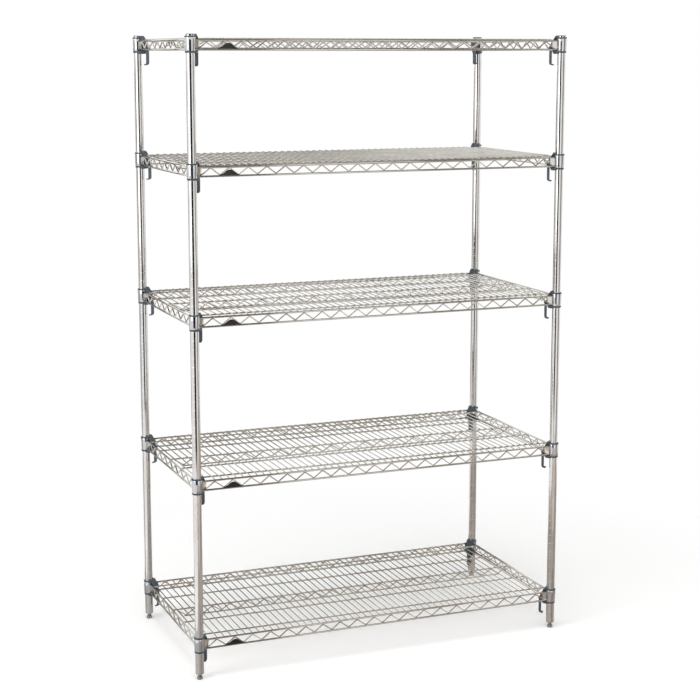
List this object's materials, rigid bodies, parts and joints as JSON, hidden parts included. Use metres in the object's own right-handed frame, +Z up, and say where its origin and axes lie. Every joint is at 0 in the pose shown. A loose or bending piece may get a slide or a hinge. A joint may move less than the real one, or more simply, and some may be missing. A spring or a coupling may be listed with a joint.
{
  "type": "wire shelving rack",
  "caption": "Free-standing chrome wire shelving rack with grooved posts, height-adjustable welded wire shelves, corner release levers and levelling feet.",
  "frame": {"origin": "on the floor under the middle of the rack", "axes": "+Z up along the posts, +X to the right along the long side, +Y from front to back"},
  "size_m": [1.2116, 0.6026, 1.888],
  "materials": {
    "post_chrome": "bright plated",
    "shelf_chrome": "bright plated wire",
    "cap_moulding": "moulded",
    "foot_zinc": "zinc plated",
    "sleeve_polymer": "moulded, fine texture",
    "lever_polymer": "moulded, fine texture"
  },
  "bodies": {
    "rack_posts": {"post_front_left": "post_chrome", "cap_front_left": "cap_moulding", "post_front_right": "post_chrome", "cap_front_right": "cap_moulding", "post_rear_right": "post_chrome", "cap_rear_right": "cap_moulding", "post_rear_left": "post_chrome", "cap_rear_left": "cap_moulding"},
    "foot_front_left_screw": {"foot_front_left": "foot_zinc"},
    "foot_front_right_screw": {"foot_front_right": "foot_zinc"},
    "foot_rear_right_screw": {"foot_rear_right": "foot_zinc"},
    "foot_rear_left_screw": {"foot_rear_left": "foot_zinc"},
    "shelf_1_body": {"shelf_1": "shelf_chrome", "sleeve_1_front_left": "sleeve_polymer", "sleeve_1_front_right": "sleeve_polymer", "sleeve_1_rear_right": "sleeve_polymer", "sleeve_1_rear_left": "sleeve_polymer"},
    "lever_1_front_left_arm": {"lever_1_front_left": "lever_polymer"},
    "lever_1_front_right_arm": {"lever_1_front_right": "lever_polymer"},
    "lever_1_rear_right_arm": {"lever_1_rear_right": "lever_polymer"},
    "lever_1_rear_left_arm": {"lever_1_rear_left": "lever_polymer"},
    "shelf_2_body": {"shelf_2": "shelf_chrome", "sleeve_2_front_left": "sleeve_polymer", "sleeve_2_front_right": "sleeve_polymer", "sleeve_2_rear_right": "sleeve_polymer", "sleeve_2_rear_left": "sleeve_polymer"},
    "lever_2_front_left_arm": {"lever_2_front_left": "lever_polymer"},
    "lever_2_front_right_arm": {"lever_2_front_right": "lever_polymer"},
    "lever_2_rear_right_arm": {"lever_2_rear_right": "lever_polymer"},
    "lever_2_rear_left_arm": {"lever_2_rear_left": "lever_polymer"},
    "shelf_3_body": {"shelf_3": "shelf_chrome", "sleeve_3_front_left": "sleeve_polymer", "sleeve_3_front_right": "sleeve_polymer", "sleeve_3_rear_right": "sleeve_polymer", "sleeve_3_rear_left": "sleeve_polymer"},
    "lever_3_front_left_arm": {"lever_3_front_left": "lever_polymer"},
    "lever_3_front_right_arm": {"lever_3_front_right": "lever_polymer"},
    "lever_3_rear_right_arm": {"lever_3_rear_right": "lever_polymer"},
    "lever_3_rear_left_arm": {"lever_3_rear_left": "lever_polymer"},
    "shelf_4_body": {"shelf_4": "shelf_chrome", "sleeve_4_front_left": "sleeve_polymer", "sleeve_4_front_right": "sleeve_polymer", "sleeve_4_rear_right": "sleeve_polymer", "sleeve_4_rear_left": "sleeve_polymer"},
    "lever_4_front_left_arm": {"lever_4_front_left": "lever_polymer"},
    "lever_4_front_right_arm": {"lever_4_front_right": "lever_polymer"},
    "lever_4_rear_right_arm": {"lever_4_rear_right": "lever_polymer"},
    "lever_4_rear_left_arm": {"lever_4_rear_left": "lever_polymer"},
    "shelf_5_body": {"shelf_5": "shelf_chrome", "sleeve_5_front_left": "sleeve_polymer", "sleeve_5_front_right": "sleeve_polymer", "sleeve_5_rear_right": "sleeve_polymer", "sleeve_5_rear_left": "sleeve_polymer"},
    "lever_5_front_left_arm": {"lever_5_front_left": "lever_polymer"},
    "lever_5_front_right_arm": {"lever_5_front_right": "lever_polymer"},
    "lever_5_rear_right_arm": {"lever_5_rear_right": "lever_polymer"},
    "lever_5_rear_left_arm": {"lever_5_rear_left": "lever_polymer"}
  },
  "joints": [
    {"name": "foot_front_left_height", "type": "slide", "parent": "rack_posts", "child": "foot_front_left_screw", "axis": [0, 0, 1], "range_m": [-0.019, 0]},
    {"name": "foot_front_right_height", "type": "slide", "parent": "rack_posts", "child": "foot_front_right_screw", "axis": [0, 0, 1], "range_m": [-0.019, 0]},
    {"name": "foot_rear_right_height", "type": "slide", "parent": "rack_posts", "child": "foot_rear_right_screw", "axis": [0, 0, 1], "range_m": [-0.019, 0]},
    {"name": "foot_rear_left_height", "type": "slide", "parent": "rack_posts", "child": "foot_rear_left_screw", "axis": [0, 0, 1], "range_m": [-0.019, 0]},
    {"name": "shelf_1_height", "type": "slide", "parent": "rack_posts", "child": "shelf_1_body", "axis": [0, 0, 1], "range_m": [0, 0.3556]},
    {"name": "lever_1_front_left_release", "type": "hinge", "parent": "shelf_1_body", "child": "lever_1_front_left_arm", "pos_m": [-0.56595, -0.26145, 0.0975], "axis": [0.7071, -0.7071, 0], "range_deg": [0, 85]},
    {"name": "lever_1_front_right_release", "type": "hinge", "parent": "shelf_1_body", "child": "lever_1_front_right_arm", "pos_m": [0.56595, -0.26145, 0.0975], "axis": [0.7071, 0.7071, 0], "range_deg": [0, 85]},
    {"name": "lever_1_rear_right_release", "type": "hinge", "parent": "shelf_1_body", "child": "lever_1_rear_right_arm", "pos_m": [0.56595, 0.26145, 0.0975], "axis": [-0.7071, 0.7071, 0], "range_deg": [0, 85]},
    {"name": "lever_1_rear_left_release", "type": "hinge", "parent": "shelf_1_body", "child": "lever_1_rear_left_arm", "pos_m": [-0.56595, 0.26145, 0.0975], "axis": [-0.7071, -0.7071, 0], "range_deg": [0, 85]},
    {"name": "shelf_2_height", "type": "slide", "parent": "rack_posts", "child": "shelf_2_body", "axis": [0, 0, 1], "range_m": [0, 0.3556]},
    {"name": "lever_2_front_left_release", "type": "hinge", "parent": "shelf_2_body", "child": "lever_2_front_left_arm", "pos_m": [-0.56595, -0.26145, 0.5801], "axis": [0.7071, -0.7071, 0], "range_deg": [0, 85]},
    {"name": "lever_2_front_right_release", "type": "hinge", "parent": "shelf_2_body", "child": "lever_2_front_right_arm", "pos_m": [0.56595, -0.26145, 0.5801], "axis": [0.7071, 0.7071, 0], "range_deg": [0, 85]},
    {"name": "lever_2_rear_right_release", "type": "hinge", "parent": "shelf_2_body", "child": "lever_2_rear_right_arm", "pos_m": [0.56595, 0.26145, 0.5801], "axis": [-0.7071, 0.7071, 0], "range_deg": [0, 85]},
    {"name": "lever_2_rear_left_release", "type": "hinge", "parent": "shelf_2_body", "child": "lever_2_rear_left_arm", "pos_m": [-0.56595, 0.26145, 0.5801], "axis": [-0.7071, -0.7071, 0], "range_deg": [0, 85]},
    {"name": "shelf_3_height", "type": "slide", "parent": "rack_posts", "child": "shelf_3_body", "axis": [0, 0, 1], "range_m": [0, 0.3048]},
    {"name": "lever_3_front_left_release", "type": "hinge", "parent": "shelf_3_body", "child": "lever_3_front_left_arm", "pos_m": [-0.56595, -0.26145, 1.0627], "axis": [0.7071, -0.7071, 0], "range_deg": [0, 85]},
    {"name": "lever_3_front_right_release", "type": "hinge", "parent": "shelf_3_body", "child": "lever_3_front_right_arm", "pos_m": [0.56595, -0.26145, 1.0627], "axis": [0.7071, 0.7071, 0], "range_deg": [0, 85]},
    {"name": "lever_3_rear_right_release", "type": "hinge", "parent": "shelf_3_body", "child": "lever_3_rear_right_arm", "pos_m": [0.56595, 0.26145, 1.0627], "axis": [-0.7071, 0.7071, 0], "range_deg": [0, 85]},
    {"name": "lever_3_rear_left_release", "type": "hinge", "parent": "shelf_3_body", "child": "lever_3_rear_left_arm", "pos_m": [-0.56595, 0.26145, 1.0627], "axis": [-0.7071, -0.7071, 0], "range_deg": [0, 85]},
    {"name": "shelf_4_height", "type": "slide", "parent": "rack_posts", "child": "shelf_4_body", "axis": [0, 0, 1], "range_m": [0, 0.2286]},
    {"name": "lever_4_front_left_release", "type": "hinge", "parent": "shelf_4_body", "child": "lever_4_front_left_arm", "pos_m": [-0.56595, -0.26145, 1.4945], "axis": [0.7071, -0.7071, 0], "range_deg": [0, 85]},
    {"name": "lever_4_front_right_release", "type": "hinge", "parent": "shelf_4_body", "child": "lever_4_front_right_arm", "pos_m": [0.56595, -0.26145, 1.4945], "axis": [0.7071, 0.7071, 0], "range_deg": [0, 85]},
    {"name": "lever_4_rear_right_release", "type": "hinge", "parent": "shelf_4_body", "child": "lever_4_rear_right_arm", "pos_m": [0.56595, 0.26145, 1.4945], "axis": [-0.7071, 0.7071, 0], "range_deg": [0, 85]},
    {"name": "lever_4_rear_left_release", "type": "hinge", "parent": "shelf_4_body", "child": "lever_4_rear_left_arm", "pos_m": [-0.56595, 0.26145, 1.4945], "axis": [-0.7071, -0.7071, 0], "range_deg": [0, 85]},
    {"name": "shelf_5_height", "type": "slide", "parent": "rack_posts", "child": "shelf_5_body", "axis": [0, 0, 1], "range_m": [0, 0.0254]},
    {"name": "lever_5_front_left_release", "type": "hinge", "parent": "shelf_5_body", "child": "lever_5_front_left_arm", "pos_m": [-0.56595, -0.26145, 1.8501], "axis": [0.7071, -0.7071, 0], "range_deg": [0, 85]},
    {"name": "lever_5_front_right_release", "type": "hinge", "parent": "shelf_5_body", "child": "lever_5_front_right_arm", "pos_m": [0.56595, -0.26145, 1.8501], "axis": [0.7071, 0.7071, 0], "range_deg": [0, 85]},
    {"name": "lever_5_rear_right_release", "type": "hinge", "parent": "shelf_5_body", "child": "lever_5_rear_right_arm", "pos_m": [0.56595, 0.26145, 1.8501], "axis": [-0.7071, 0.7071, 0], "range_deg": [0, 85]},
    {"name": "lever_5_rear_left_release", "type": "hinge", "parent": "shelf_5_body", "child": "lever_5_rear_left_arm", "pos_m": [-0.56595, 0.26145, 1.8501], "axis": [-0.7071, -0.7071, 0], "range_deg": [0, 85]}
  ]
}
